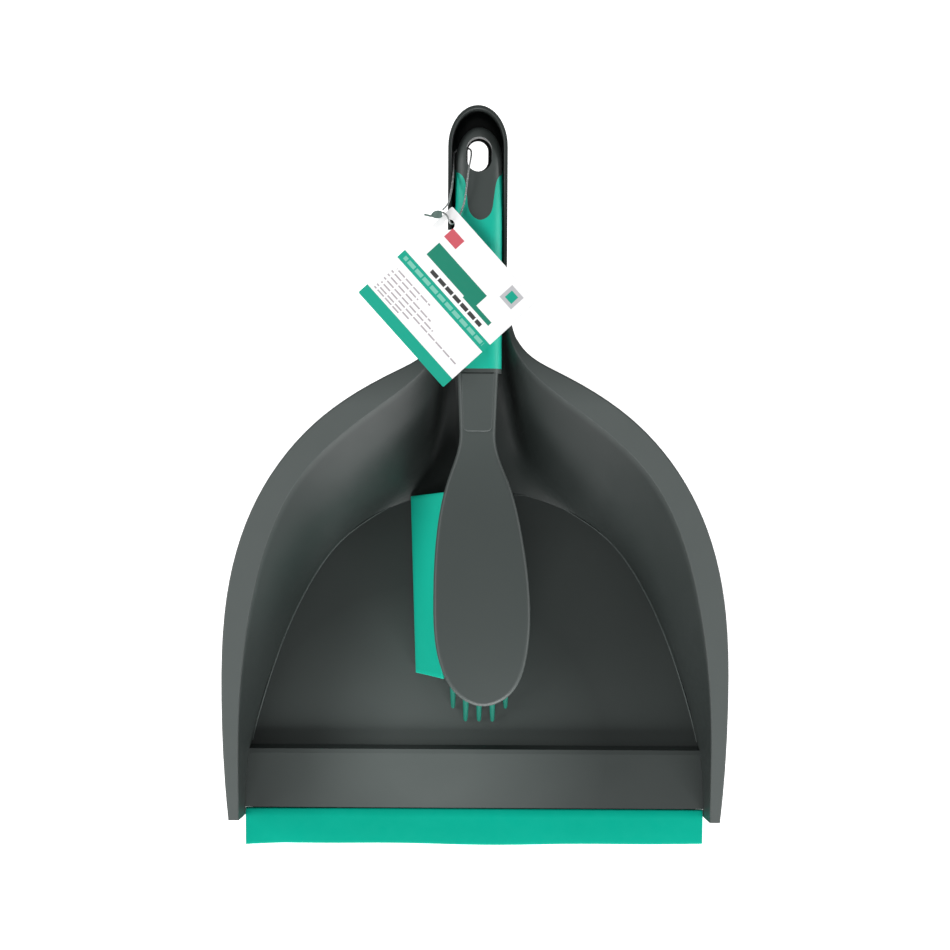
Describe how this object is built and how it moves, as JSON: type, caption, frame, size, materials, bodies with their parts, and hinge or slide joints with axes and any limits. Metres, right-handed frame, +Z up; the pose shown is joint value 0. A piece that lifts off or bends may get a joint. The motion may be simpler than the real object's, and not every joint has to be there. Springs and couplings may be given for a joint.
{
  "type": "dust pan and brush set",
  "caption": "Dust pan with a sloping rim, soft front lip and U-channel handle, holding a rubber-fingered hand brush with a side squeegee and a swing card.",
  "frame": {"origin": "under the middle of the set's bounding box, on the surface that the pan stands on", "axes": "+X to the right and +Y towards the handle's end, seen from above with the lip nearest; +Z up"},
  "size_m": [0.226, 0.33, 0.0678],
  "materials": {
    "grey_plastic": "satin, fine moulded grain",
    "teal_rubber": "soft satin",
    "white_card": "smooth coated card with plain printed bars",
    "clear_nylon": "clear filament",
    "lock_plastic": "smooth"
  },
  "bodies": {
    "pan": {"pan_body": "grey_plastic", "pan_lip": "teal_rubber"},
    "brush": {"brush_body": "grey_plastic", "brush_grip": "teal_rubber", "bristle_carrier": "grey_plastic", "bristle_pad": "teal_rubber", "squeegee_blade": "teal_rubber", "tag_loop": "clear_nylon", "tag_lock": "lock_plastic"},
    "tag": {"tag_card": "white_card"}
  },
  "joints": [
    {"name": "brush_lift", "type": "slide", "parent": "pan", "child": "brush", "axis": [0, 0, 1], "range_m": [0, 0.12]},
    {"name": "tag_swing", "type": "hinge", "parent": "brush", "child": "tag", "pos_m": [-0.0122, 0.11303, 0.06396], "axis": [0, -0.1219, 0.9925], "range_deg": [-25, 25]}
  ]
}
